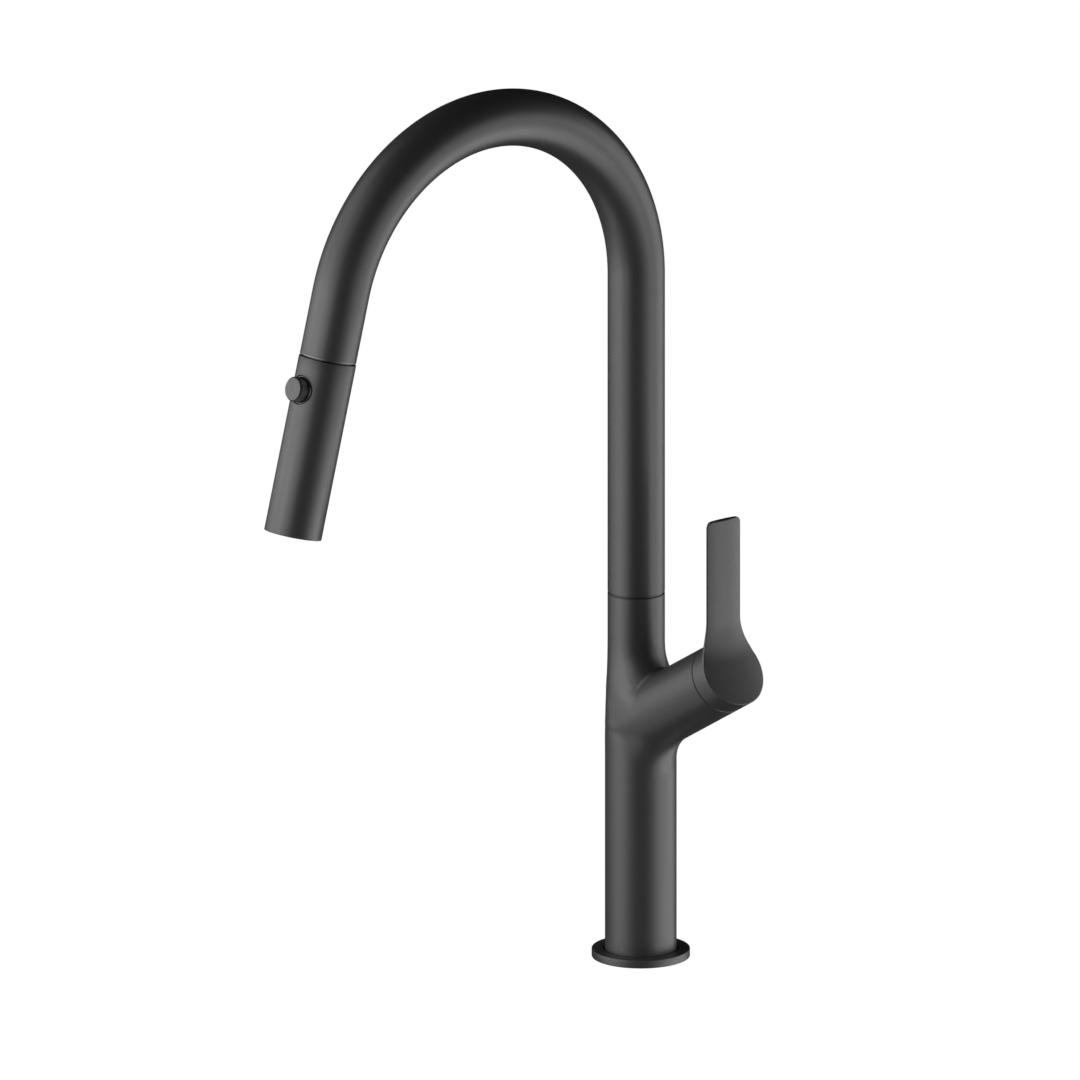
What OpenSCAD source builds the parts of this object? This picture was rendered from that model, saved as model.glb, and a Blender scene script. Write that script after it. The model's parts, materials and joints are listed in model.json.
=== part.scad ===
// Pull-down kitchen faucet with a 30 degree side branch, a lever handle on a
// ball seam and a two-mode spray head.
// Frame: origin at the centre of the base flange's underside, +Z up, spout
// towards -Y, handle branch towards +X. Millimetres.

/* [Base] */
// Outer diameter of the base flange
flange_d = 48; // [44:1:60]
// Thickness of the base flange
flange_h = 4; // [3.5:0.5:6]

/* [Body] */
// Diameter of the lower body and of the handle branch
body_d = 35; // [35:0.5:36]
// Diameter of the spout tube
tube_d = 28; // [28:0.5:29]
// Height at which the branch axis meets the body axis
branch_z = 118.4; // [112:0.2:122]
// Height of the swivel seam between body and spout
seam_z = 184; // [182:1:188]

/* [Spout] */
// Height at which the spout starts to bend
bend_z = 345; // [320:5:380]
// Radius of the spout's bend, at the tube axis
bend_r = 95; // [80:1:110]
// Sweep of the bend
sweep = 165.4; // [150:0.2:175]
// Straight length between the bend and the docking seam
tail_l = 33; // [33:1:45]
// Wall of the spout tube
tube_wall = 1.5; // [1.2:0.1:1.6]

/* [Spray head] */
// Length of the spray head
head_l = 88; // [86:1:100]
// Diameter of the spray head
head_d = 28.5; // [28.5:0.1:29.5]
// Distance from the docking seam to the button's axis
button_z = 16.4; // [16:0.1:18]

/* [Handle] */
// Distance along the branch from the body axis to the hub's face
hub_l = 83.5; // [83.5:0.1:85]
// Top of the lever's blade
blade_top = 235; // [220:1:250]
// Half the width of the blade
blade_half = 9.5; // [9:0.1:10]
// Plane of the blade's front face, from the body axis
blade_x = 65; // [64.6:0.1:65.4]
// Thickness of the blade
blade_t = 3.5; // [3:0.1:4]

/* [Hidden] */
$fn = 96;
eps = 0.1;
lap = 0.01;                        // a bend's straight end grows by this to join it

body_r = body_d / 2;
tube_r = tube_d / 2;
tube_bore = tube_r - tube_wall;
tube_x = tube_r - body_r;          // the tube is flush with the body's back
foot_z = flange_h - 1;             // the body stands in a pocket of the flange
branch_tilt = 60;                  // from vertical, so 30 degrees above level

taper_z = 114;                     // the body narrows to the tube between these
taper_top = 158;

// Shank thread M32 x 1.5 in the body's foot
shank_r = 15.25;
shank_l = 19;
block_z = foot_z + shank_l;
block_h = 18;
shoulder_z = block_z + block_h;
main_bore = 14;

// Inlets and passages in the block
port_r = 3.5;                      // M8 x 1 tapping
inlet_x = 5.4;
inlet_y = 7.9;
mixed_x = 10.2;
pass_r = 7;                        // hose passage
tail_r = 4.5;                      // M10 x 1 tapping in the hose's tail
hose_r = 6.5;
riser_r = 3;
riser_bore = 2.2;

// Risers bend about one axis parallel to Y
riser_bend = 22;
riser_c = [inlet_x + riser_bend, 0, 110.55];
mixed_bend = riser_bend - (mixed_x - inlet_x);

// Cartridge stack: distances along the branch axis
end_l = 71.4;                      // end of the fixed branch
seat_l = 33;
base_l = 42;
disc_l = 46;
pivot_l = 57.5;
foot_l = pivot_l - 6;              // centre of the stem's ball foot
top_l = 61;
rest_l = 72;                       // start of the handle hub
cart_bore = 14.2;
cart_r = 12.6;
stem_r = 3.5;
foot_r = 1.7;
dome_r = 22.2;
ball_r = 22.5;
turn_half = 76;                    // half angle of the stem's window in the dome

// Docking seam: origin of the spray head
dock_y = -bend_r * (1 - cos(sweep)) - tail_l * sin(sweep);
dock_z = bend_z + bend_r * sin(sweep) + tail_l * cos(sweep);
head_r = head_d / 2;
head_bore = head_r - 1.5;
button_recess = 13.3;

// ---------------------------------------------------------------- helpers
module ring(r_out, r_in, z0, z1) {
    difference() {
        translate([0, 0, z0]) cylinder(r = r_out, h = z1 - z0);
        translate([0, 0, z0 - eps]) cylinder(r = r_in, h = z1 - z0 + 2 * eps);
    }
}

module rod(r, z0, z1) {
    translate([0, 0, z0]) cylinder(r = r, h = z1 - z0);
}

module oring(r_mid, r_cord, z) {
    translate([0, 0, z]) rotate_extrude() translate([r_mid, 0]) circle(r = r_cord, $fn = 24);
}

// +Z along the branch, +X towards its underside
module on_branch() {
    translate([0, 0, branch_z]) rotate([0, branch_tilt, 0]) children();
}

// +Z along the tube, centred on the spout
module on_tube() {
    translate([tube_x, 0, 0]) children();
}

// +Z from the docking seam to the spray face, +Y out of the button
module on_head() {
    translate([tube_x, dock_y, dock_z]) rotate([sweep, 0, 0]) children();
}

// +Z out of the button, from the head's axis
module on_button() {
    on_head() translate([0, 0, button_z]) rotate([-90, 0, 0]) children();
}

// Solid bar of radius r that follows the spout's axis
module spout_bar(r, z_low, tail_end) {
    on_tube() {
        rod(r, z_low, bend_z);
        translate([0, -bend_r, bend_z]) rotate([90, 0, 90])
            rotate_extrude(angle = sweep) translate([bend_r, 0]) circle(r = r);
    }
    on_head() rod(r + lap, -tail_l - 0.2, tail_end);
}

// Riser tube: vertical, a 60 degree bend and a straight end in the seat
module riser(y, bend, bore_r, r) {
    translate([riser_c[0], y, 0]) {
        translate([-bend, 0, block_z + 13]) cylinder(r = r, h = riser_c[2] - block_z - 13);
        translate([0, 0, riser_c[2]]) rotate([90, 0, 180])
            rotate_extrude(angle = branch_tilt) translate([bend, 0]) circle(r = r);
    }
    bent_end(y, bend) rod(r + lap, -0.1, riser_end);
}

// Where a riser's straight end starts, +Z along the branch
module bent_end(y, bend) {
    translate([riser_c[0], y, riser_c[2]]) rotate([0, branch_tilt, 0])
        translate([-bend, 0, 0]) children();
}
riser_start = sin(branch_tilt) * riser_c[0] + cos(branch_tilt) * (riser_c[2] - branch_z);
riser_end = seat_l + 4 - riser_start;
riser_side = cos(branch_tilt) * riser_c[0] - sin(branch_tilt) * (riser_c[2] - branch_z);
inlet_side = riser_side - riser_bend;
mixed_side = riser_side - mixed_bend;

// Places of the three ports in the branch's cross-section
PORTS = [[inlet_side, -inlet_y], [inlet_side, inlet_y], [mixed_side, 0]];

module at_ports() {
    for (p = PORTS) translate([p[0], p[1], 0]) children();
}

module tube_riser(y, bend) {
    color("peru") difference() {
        riser(y, bend, riser_bore, riser_r);
        riser_hollow(y, bend);
    }
}

module riser_hollow(y, bend) {
    translate([riser_c[0], y, 0]) {
        translate([-bend, 0, block_z]) cylinder(r = riser_bore, h = riser_c[2] - block_z);
        translate([0, 0, riser_c[2]]) rotate([90, 0, 180])
            rotate_extrude(angle = branch_tilt) translate([bend, 0]) circle(r = riser_bore);
    }
    bent_end(y, bend) rod(riser_bore + lap, -0.1, riser_end + 1);
}

// ---------------------------------------------------------------- base
module base_flange() {
    color("#26282b") difference() {
        cylinder(d = flange_d, h = flange_h);
        translate([0, 0, -eps]) cylinder(r = 16.2, h = flange_h + 1);
        translate([0, 0, foot_z]) cylinder(r = body_r + 0.05, h = 2);
        translate([0, 0, -eps]) ring(21.5, 19, -1, 1.3 + eps);
    }
}

module flange_gasket() {
    color("#101010") ring(21.4, 19.1, 0, 1.25);
}

// ---------------------------------------------------------------- body
module body_solid() {
    translate([0, 0, foot_z]) cylinder(r = body_r, h = taper_z - foot_z);
    hull() {
        translate([0, 0, taper_z]) cylinder(r = body_r - 0.02, h = 0.1);
        on_tube() rod(tube_r - 0.02, taper_top - 0.1, taper_top);
    }
    on_tube() rod(tube_r, taper_top, seam_z - 0.25);
    on_branch() rod(body_r, 4, end_l);
}

module body_hollow() {
    rod(shank_r, foot_z - 1, block_z);
    rod(15, block_z - eps, shoulder_z);
    rod(main_bore, shoulder_z - eps, 119);
    on_tube() {
        rod(8.5, 118, 153);
        rod(12.3, 152, seam_z + 1);
        translate([0, 0, 168]) rotate([-90, 0, 0]) cylinder(r = 1.55, h = 20);
    }
    on_branch() {
        rod(cart_r - 0.1, 4, seat_l + eps);
        rod(cart_bore, seat_l, end_l + 1);
    }
}

module body_shell() {
    color("#2b2d30") difference() {
        body_solid();
        body_hollow();
    }
}

module inlet_block() {
    color("#b8963e") difference() {
        rod(14.95, block_z, shoulder_z);
        on_tube() rod(pass_r, block_z - 1, shoulder_z + 1);
        for (p = [[inlet_x, inlet_y], [inlet_x, -inlet_y], [mixed_x, 0]])
            translate([p[0], p[1], 0]) {
                rod(port_r, block_z - 1, block_z + 10);
                rod(riser_bore, block_z + 9, shoulder_z + 1);
                rod(riser_r + 0.05, block_z + 13, shoulder_z + 1);
            }
        ring(16, 13.6, block_z + 7, block_z + 9.4);
    }
}

module block_oring() {
    color("#151515") oring(14.28, 0.68, block_z + 8.2);
}

module hot_riser() {
    tube_riser(inlet_y, riser_bend);
}

module cold_riser() {
    tube_riser(-inlet_y, riser_bend);
}

module mixed_tube() {
    tube_riser(0, mixed_bend);
}

module lower_bush() {
    color("#d9d4c4") on_tube() ring(12.2, 11.28, 153.1, 159.5);
}

module upper_bush() {
    color("#d9d4c4") on_tube() ring(12.2, 11.28, 172, seam_z - 0.4);
}

module slip_washer() {
    color("#0c0c0c") on_tube() ring(tube_r - 0.5, 11.4, seam_z - 0.25, seam_z + 0.2);
}

module spout_screw() {
    color("#3a3a3c") on_tube() translate([0, 0, 168]) rotate([-90, 0, 0]) difference() {
        rod(1.5, 10.7, 13.8);
        translate([0, 0, 12.4]) cylinder(d = 1.8, h = 2, $fn = 6);
    }
}

// ---------------------------------------------------------------- cartridge
module cartridge_seat() {
    color("#b8963e") on_branch() difference() {
        rod(cart_bore - 0.1, seat_l + 0.02, base_l);
        at_ports() {
            rod(riser_r + 0.05, seat_l - 1, seat_l + 4.02);
            rod(2, seat_l + 4, base_l + 1);
        }
        ring(15, 12.9, seat_l + 5, seat_l + 7);
    }
}

module seat_oring() {
    color("#151515") on_branch() oring(13.53, 0.62, seat_l + 6);
}

module port_seals() {
    color("#1b1b1b") on_branch() at_ports() oring(2.9, 0.45, base_l + 0.5);
}

module cartridge_base() {
    color("#e8e6df") on_branch() difference() {
        rod(cart_r, base_l + 0.02, disc_l - 0.02);
        at_ports() {
            rod(2, base_l - 1, disc_l + 1);
            rod(3.4, base_l - 1, base_l + 0.98);
        }
    }
}

module fixed_disc() {
    color("#f4f2ec") on_branch() difference() {
        rod(10.8, disc_l, disc_l + 3);
        at_ports() rod(2, disc_l - 1, disc_l + 4);
    }
}

module cartridge_housing() {
    color("#e8e6df") on_branch() difference() {
        rod(cart_r, disc_l + 0.02, top_l);
        rod(11, disc_l - 1, top_l - 2.4);
        rod(8.9, top_l - 3, top_l + 1);
    }
}

module cartridge_nut() {
    color("#b8963e") on_branch() difference() {
        rod(cart_bore - 0.1, top_l + 0.05, top_l + 5);
        translate([0, 0, top_l - 1]) cylinder(d = 21.5, h = 7, $fn = 6);
    }
}

module bonnet_dome() {
    color("#1d1e20") on_branch() difference() {
        union() {
            difference() {
                translate([0, 0, pivot_l]) sphere(r = dome_r);
                rod(40, pivot_l - 30, end_l + 0.05);
                translate([0, 0, pivot_l]) sphere(r = 20.3);
            }
            ring(cart_bore - 0.1, 12.7, top_l + 5.2, 72.7);
        }
        rod(5, top_l, 90);
        translate([0, 0, top_l]) rotate([0, 0, -turn_half])
            rotate_extrude(angle = 2 * turn_half) square([12.6, 25]);
    }
}

module rotor() {
    color("#c9c6bd") on_branch() difference() {
        union() {
            rod(8.8, pivot_l - 4.2, top_l + 1.2);
            rod(10.8, pivot_l - 4.2, pivot_l - 1.6);
        }
        translate([-6.4, -3.65, pivot_l - 5]) cube([12.8, 7.3, 12]);
        translate([0, 12, pivot_l]) rotate([90, 0, 0]) cylinder(r = 1.52, h = 24);
    }
}

module pivot_pin() {
    color("#9a9c9f") on_branch() translate([0, 8.2, pivot_l]) rotate([90, 0, 0])
        cylinder(r = 1.5, h = 16.4);
}

module moving_disc() {
    color("#f4f2ec") on_branch() difference() {
        rod(7.4, disc_l + 3.03, disc_l + 5.6);
        translate([0, 0, foot_l]) sphere(r = foot_r + 0.15);
        rod(foot_r + 0.15, foot_l, disc_l + 8);
        translate([0, 0, disc_l + 2]) rotate([0, 0, 60])
            rotate_extrude(angle = 240) translate([3.6, 0]) square([2.4, 1.9]);
    }
}

// ---------------------------------------------------------------- handle
// Outline of the lever face: a round hub that flares into a straight blade
neck_v = 6;
neck_top = 26;
hub_half = sqrt(body_r * body_r - neck_v * neck_v);
// Makes the neck leave the round hub along its tangent
flare = 2 - (neck_top - neck_v) * neck_v / (hub_half * (hub_half - blade_half));
function neck_half(v) =
    let (t = (v - neck_v) / (neck_top - neck_v))
    blade_half + (hub_half - blade_half) * (1 - t) * (1 - t) * (1 + flare * t);

module lever_outline() {
    circle(r = body_r);
    steps = 12;
    side = [for (i = [0 : steps])
        let (v = neck_v + (neck_top - neck_v) * i / steps) [-v, neck_half(v)]];
    far = [for (i = [steps : -1 : 0]) [side[i][0], -side[i][1]]];
    polygon(concat(side, [[-120, blade_half], [-120, -blade_half]], far));
}

// Side profile of the lever plate in the XZ plane
plate_t = 5;
face_x = sin(branch_tilt) * hub_l;
face_z = branch_z + cos(branch_tilt) * hub_l;
function on_face(v, depth) = [
    face_x - cos(branch_tilt) * v - sin(branch_tilt) * depth,
    face_z + sin(branch_tilt) * v - cos(branch_tilt) * depth
];
bend_v = (face_x - blade_x) / cos(branch_tilt);
corner_r = 4.5;

module plate_profile() {
    polygon([
        on_face(-22, 0), on_face(bend_v, 0), [blade_x, blade_top + 5],
        [blade_x - blade_t, blade_top + 5], on_face(bend_v + 5, plate_t),
        on_face(-22, plate_t)
    ]);
}

// Front view of the blade's top, with its two rounded corners
module blade_front() {
    w = blade_half - corner_r;
    translate([-w, blade_top - corner_r]) circle(r = corner_r);
    translate([w, blade_top - corner_r]) circle(r = corner_r);
    translate([-w, blade_top - 20]) square([2 * w, 20]);
    translate([-30, 100]) square([60, blade_top - corner_r - 100]);
}

module handle_plate() {
    intersection() {
        translate([0, 40, 0]) rotate([90, 0, 0]) linear_extrude(80) plate_profile();
        on_branch() outline_bar();
        translate([40, 0, 0]) rotate([90, 0, 90]) linear_extrude(60) blade_front();
    }
}

module outline_bar() {
    translate([0, 0, 40]) linear_extrude(100) lever_outline();
}

module handle_lever() {
    color("#2b2d30") difference() {
        union() {
            handle_plate();
            on_branch() rod(body_r - 0.02, rest_l, hub_l - 0.5);
        }
        on_branch() {
            translate([0, 0, pivot_l]) sphere(r = ball_r);
            rod(stem_r + 0.02, 70, hub_l - 1.2);
            translate([0, 0, 81.6]) rotate([0, 90, 0]) cylinder(r = 1.3, h = 25);
            translate([16, 0, 81.6]) rotate([0, 90, 0]) cylinder(r = 1.4, h = 5);
        }
    }
}

module valve_stem() {
    color("#a9abad") on_branch() difference() {
        union() {
            rod(stem_r, pivot_l - 3, hub_l - 1.3);
            rod(1.3, foot_l, pivot_l - 2);
            translate([0, 0, foot_l]) sphere(r = foot_r);
        }
        translate([0, 12, pivot_l]) rotate([90, 0, 0]) cylinder(r = 1.55, h = 24);
    }
}

module handle_screw() {
    color("#3a3a3c") on_branch() translate([0, 0, 81.6]) rotate([0, 90, 0]) difference() {
        rod(1.25, stem_r + 0.05, 11);
        translate([0, 0, 9.4]) cylinder(d = 1.4, h = 2, $fn = 6);
    }
}

module screw_plug() {
    color("#1d1e20") on_branch() translate([0, 0, 81.6]) rotate([0, 90, 0])
        rod(1.36, 16.1, 17.3);
}

// ---------------------------------------------------------------- spout
module spout_tube() {
    color("#2b2d30") difference() {
        spout_bar(tube_r, seam_z + 0.25, -0.3);
        spout_bar(tube_bore, seam_z - 1, 1);
    }
}

module spout_nipple() {
    color("#b8963e") on_tube() difference() {
        union() {
            rod(11.2, 153, seam_z + 0.4);
            rod(tube_bore - 0.03, seam_z + 0.3, 206);
        }
        rod(8.6, 150, 210);
        ring(12, 10.2, 166.1, 169.9);
        for (z = [161.8, 164.4]) ring(12, 10.2, z - 0.95, z + 0.95);
    }
}

module nipple_orings() {
    color("#151515") on_tube() for (z = [161.8, 164.4]) oring(11.24, 0.94, z);
}

module hose_guide() {
    color("#e8e6df") on_tube() ring(8.55, 7.1, 190, 205.5);
}

module dock_collar() {
    color("#3c3e41") on_head() difference() {
        rod(tube_bore - 0.03, -32, -1.1);
        rod(10.5, -18, 0);
        rod(7.6, -40, -10);
        rod(tube_bore + 1, -6.1, 0);
    }
}

module dock_magnet() {
    color("#8d8f92") on_head() ring(tube_bore - 0.05, 10.5, -6, -1.1);
}

module hose_run() {
    color("#6d6f72") spout_bar(hose_r, shoulder_z - 4, -15.7);
}

module hose_tail() {
    color("#b8963e") on_tube() difference() {
        rod(pass_r - 0.1, block_z + 2, shoulder_z - 4);
        rod(tail_r, block_z, block_z + 10);
        rod(3, block_z, shoulder_z);
    }
}

// ---------------------------------------------------------------- spray head
module head_shell() {
    color("#2b2d30") difference() {
        on_head() {
            rod(head_r, 1, head_l - 0.6);
            translate([0, 0, 0.4]) cylinder(r1 = head_r - 0.6, r2 = head_r, h = 0.6);
            translate([0, 0, head_l - 0.6]) cylinder(r1 = head_r, r2 = head_r - 0.6, h = 0.6);
        }
        on_head() rod(head_bore, -1, head_l + 1);
        on_button() rod(7.3, 0, 20);
    }
}

module dock_insert() {
    color("#1d1e20") on_head() difference() {
        union() {
            rod(10.2, -14, 1.9);
            rod(head_bore - 0.05, 0.55, 1.9);
        }
        rod(8.9, -15, -2.4);
        rod(5.6, -15, 3);
    }
}

module dock_ring() {
    color("#9a9c9f") on_head() ring(12.2, 10.3, -0.8, 0.5);
}

module hose_stub() {
    color("#6d6f72") on_head() rod(hose_r, -15.5, -9.1);
}

module hose_ferrule() {
    color("#b9bbbd") on_head() ring(7.4, hose_r + 0.02, -15.3, -9.1);
}

module hose_nut() {
    color("#b8963e") on_head() difference() {
        rod(8.75, -9, -3.5);
        rod(4, -10, -3);
    }
}

module filter_washer() {
    color("#151515") on_head() ring(8.6, 3.8, -3.4, -2.5);
}

module check_valve() {
    color("#d9d4c4") on_head() difference() {
        rod(5.5, -2.4, 1.8);
        rod(3.6, -3, 1);
        rod(0.8, 0, 3);
        for (a = [0 : 60 : 300]) rotate([0, 0, a]) translate([2.4, 0, 0]) rod(0.7, 0, 3);
    }
}

module waterway() {
    color("#e8e6df") difference() {
        on_head() rod(head_bore - 0.25, 2, 70);
        on_head() {
            rod(4.6, 1, 9.5);
            rod(3.2, 16, 71);
            for (x = [-8.6, 8.6]) translate([x, 0, 0]) rod(1.6, 16, 71);
            rotate([0, 90, 0]) translate([-16.4, 0, -8.7]) cylinder(r = 1.6, h = 17.4);
        }
        on_button() {
            rod(5, -9.4, 20);
            rod(7.35, 8.8, 20);
        }
        on_head() ring(14, 11.4, 63.3, 65.9);
    }
}

module head_oring() {
    color("#151515") on_head() oring(12.06, 0.64, 64.6);
}

module flow_divider() {
    color("#c9c6bd") on_head() difference() {
        rod(head_bore - 0.1, 70.1, 76);
        rod(7.2, 72, 77);
        rod(3.2, 69, 73);
        ring(11.6, 9, 72, 77);
        for (x = [-8.6, 8.6]) translate([x, 0, 0]) rod(1.6, 69, 77);
    }
}

// Two rings of spray nozzles around the aerator
module at_nozzles() {
    for (i = [0 : 23]) rotate([0, 0, i * 15]) translate([11.1, 0, 0]) children();
    for (i = [0 : 17]) rotate([0, 0, i * 20 + 5]) translate([9.3, 0, 0]) children();
}

module nozzle_plate() {
    color("#232427") on_head() difference() {
        rod(head_bore - 0.05, 76.1, head_l - 1.4);
        rod(7.3, 75, head_l);
        ring(11.9, 8.5, 75, 79);
        at_nozzles() cylinder(r = 0.62, h = head_l, $fn = 16);
    }
}

module spray_nozzles() {
    color("#55585b") on_head() {
        ring(11.8, 8.6, 76.4, 77.6);
        at_nozzles() translate([0, 0, 77.4]) cylinder(r = 0.58, h = head_l - 78, $fn = 16);
    }
}

module aerator_housing() {
    color("#8d8f92") on_head() difference() {
        rod(7.15, 74, head_l - 1.2);
        rod(6.2, 76, head_l);
        rod(3, 73, 77);
    }
}

module aerator_mesh() {
    color("#b9bbbd") on_head() difference() {
        rod(6.1, 83.5, 84.6);
        for (x = [-4 : 2 : 4], y = [-4 : 2 : 4])
            if (x * x + y * y < 26) translate([x - 0.7, y - 0.7, 83]) cube([1.4, 1.4, 3]);
    }
}

// ---------------------------------------------------------------- button
module button_guide() {
    color("#121212") on_button() ring(7.25, 6.32, 9, button_recess - 0.1);
}

module button_cap() {
    color("#3a3c3f") on_button() {
        rod(6.2, 12, 18);
        translate([0, 0, 18]) cylinder(r1 = 6.2, r2 = 5.5, h = 0.8);
        rod(3, 9.5, 12.1);
    }
}

module diverter_spool() {
    color("#d9d4c4") on_button() difference() {
        rod(4.85, -4, 9.4);
        for (z = [-2.4, 2.6, 7.4]) ring(6, 4, z - 0.8, z + 0.8);
        ring(6, 3.2, -0.9, 1.1);
    }
}

module spool_orings() {
    color("#151515") on_button() for (z = [-2.4, 2.6, 7.4]) oring(4.47, 0.46, z);
}

// Coil spring behind the spool, drawn as its envelope sleeve
module button_spring() {
    color("#b9bbbd") on_button() ring(3.6, 2.8, -9.2, -4.1);
}

base_flange();
flange_gasket();
body_shell();
inlet_block();
block_oring();
hot_riser();
cold_riser();
mixed_tube();
cartridge_seat();
seat_oring();
port_seals();
cartridge_base();
fixed_disc();
cartridge_housing();
cartridge_nut();
bonnet_dome();
lower_bush();
upper_bush();
slip_washer();
spout_screw();
rotor();
pivot_pin();
moving_disc();
handle_lever();
valve_stem();
handle_screw();
screw_plug();
spout_tube();
spout_nipple();
nipple_orings();
hose_guide();
dock_collar();
dock_magnet();
hose_run();
hose_tail();
head_shell();
dock_insert();
dock_ring();
hose_stub();
hose_ferrule();
hose_nut();
filter_washer();
check_valve();
waterway();
flow_divider();
nozzle_plate();
spray_nozzles();
aerator_housing();
aerator_mesh();
button_guide();
head_oring();
button_cap();
diverter_spool();
spool_orings();
button_spring();
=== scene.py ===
"""Finishes a pull-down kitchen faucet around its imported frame: one body casting with a
leaning branch, a gooseneck spout, a lever handle, a spray head and the parts inside.

Every shape is worked out in metres in the frame's own axes: +Z up, the spout reaches
towards -Y and the handle branch leans towards +X.
"""
import json
import math
from collections import namedtuple

import bmesh
import bpy
import numpy as np
from bpy.props import FloatProperty, FloatVectorProperty, IntProperty, PointerProperty
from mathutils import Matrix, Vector


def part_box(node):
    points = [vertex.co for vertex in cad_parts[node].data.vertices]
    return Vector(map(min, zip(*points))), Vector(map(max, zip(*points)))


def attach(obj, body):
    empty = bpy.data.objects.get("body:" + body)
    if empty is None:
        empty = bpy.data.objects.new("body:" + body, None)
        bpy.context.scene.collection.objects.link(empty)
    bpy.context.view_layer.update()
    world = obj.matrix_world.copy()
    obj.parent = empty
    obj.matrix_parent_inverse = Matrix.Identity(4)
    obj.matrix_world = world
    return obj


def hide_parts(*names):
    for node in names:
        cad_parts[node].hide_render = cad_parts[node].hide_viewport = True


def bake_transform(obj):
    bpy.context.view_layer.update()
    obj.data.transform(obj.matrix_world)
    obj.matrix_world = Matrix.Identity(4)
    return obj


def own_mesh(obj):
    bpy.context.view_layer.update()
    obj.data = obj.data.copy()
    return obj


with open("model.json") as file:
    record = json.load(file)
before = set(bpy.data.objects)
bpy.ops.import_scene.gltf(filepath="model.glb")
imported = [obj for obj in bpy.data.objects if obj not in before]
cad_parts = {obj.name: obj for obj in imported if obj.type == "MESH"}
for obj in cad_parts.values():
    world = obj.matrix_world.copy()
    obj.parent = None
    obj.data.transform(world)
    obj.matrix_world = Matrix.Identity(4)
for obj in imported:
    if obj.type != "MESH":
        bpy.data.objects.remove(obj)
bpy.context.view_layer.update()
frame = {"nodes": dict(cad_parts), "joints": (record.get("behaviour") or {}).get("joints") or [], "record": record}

bl_info = {
    "name": "Pull-down kitchen faucet",
    "version": (1, 0, 0),
    "blender": (4, 5, 0),
    "location": "View3D > Sidebar > Faucet",
    "description": "Builds the castings, tubes, hose and finishes of a pull-down faucet",
    "category": "Add Mesh",
}

MM = 0.001

# ------------------------------------------------------------ sizes from the frame
JOINT = {j["name"]: j for j in frame["joints"]}
UP = np.array((0.0, 0.0, 1.0))
SIDE = np.array((1.0, 0.0, 0.0))
ACROSS = np.array((0.0, 1.0, 0.0))


def corners(node):
    """Lowest and highest corner of a frame node, as arrays."""
    return (np.array(corner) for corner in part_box(node))


def span(node, axis):
    """Width of a frame node along one axis, to a hundredth of a millimetre."""
    low, high = corners(node)
    return round(float(high[axis] - low[axis]), 5)


FLANGE_R = span("base_flange", 0) / 2
FLANGE_H = span("base_flange", 2)
BODY_R = span("body_shell", 1) / 2
TUBE_R = span("spout_tube", 0) / 2
TUBE_X = TUBE_R - BODY_R
FOOT_Z = float(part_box("body_shell")[0][2])
SEAM_LOW = round(float(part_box("body_shell")[1][2]), 5)
SEAM_HIGH = round(float(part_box("spout_tube")[0][2]), 5)
ARCH_TOP = float(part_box("spout_tube")[1][2])
BLADE_TOP = float(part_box("handle_lever")[1][2])

BRANCH = np.array(JOINT["handle_turn"]["axis"])
PIVOT = np.array(JOINT["handle_turn"]["pos_m"])
UNDER = np.array((BRANCH[2], 0.0, -BRANCH[0]))
BRANCH_Z = PIVOT[2] - PIVOT[0] * BRANCH[2] / BRANCH[0]
PIVOT_L = PIVOT[0] / BRANCH[0]

PULL = np.array(JOINT["head_pull"]["axis"])
PRESS = -np.array(JOINT["spray_button"]["axis"])
PULL_RANGE = JOINT["head_pull"]["range_m"][1]
SWEEP = math.atan2(-PULL[1], PULL[2])

# Sizes that the frame doesn't state
BEND_R = 95 * MM
BEND_Z = ARCH_TOP - BEND_R - TUBE_R
TAIL_L = 33 * MM
TUBE_WALL = 1.5 * MM
SPOUT_END = 0.3 * MM
HEAD_L = 88 * MM
HEAD_R = 14.25 * MM
BUTTON_AT = 16.4 * MM
BUTTON_HOLE = 7.3 * MM
BRANCH_END = 71.4 * MM
HUB_START = 72 * MM
HUB_FACE = 83.5 * MM
BALL_R = 22.5 * MM
BLADE_HALF = 10.6 * MM    # the crowned blade's thin edges reach past the frame's flat bar
BLADE_FRONT = 65 * MM
BLADE_T = 3.5 * MM
PLATE_T = 5 * MM
HOSE_R = 6.5 * MM
SEAM_EASE = 0.1 * MM      # extra room on each side of the swivel seam
POLE_R = 0.02 * MM        # radius at which a turned solid's outline meets its axis

DOCK = np.array((
    TUBE_X,
    -BEND_R * (1 - math.cos(SWEEP)) - TAIL_L * math.sin(SWEEP),
    BEND_Z + BEND_R * math.sin(SWEEP) + TAIL_L * math.cos(SWEEP),
))

Place = namedtuple("Place", "origin x y z")
COLUMN = Place(np.zeros(3), SIDE, ACROSS, UP)
ARM = Place(np.array((0.0, 0.0, BRANCH_Z)), UNDER, ACROSS, BRANCH)
HEAD = Place(DOCK, SIDE, PRESS, PULL)
BUTTON = Place(DOCK + BUTTON_AT * PULL, SIDE, -PULL, PRESS)


# ------------------------------------------------------------ settings
def length(label, about, default):
    """A setting that holds a length in metres."""
    return FloatProperty(
        name=label, description=about, subtype="DISTANCE", unit="LENGTH", default=default)


def watts(label, default):
    """A setting that holds the power of each soft box of one strength."""
    return FloatProperty(
        name=label, description="Watts of each soft box", default=default, min=0)


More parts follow.
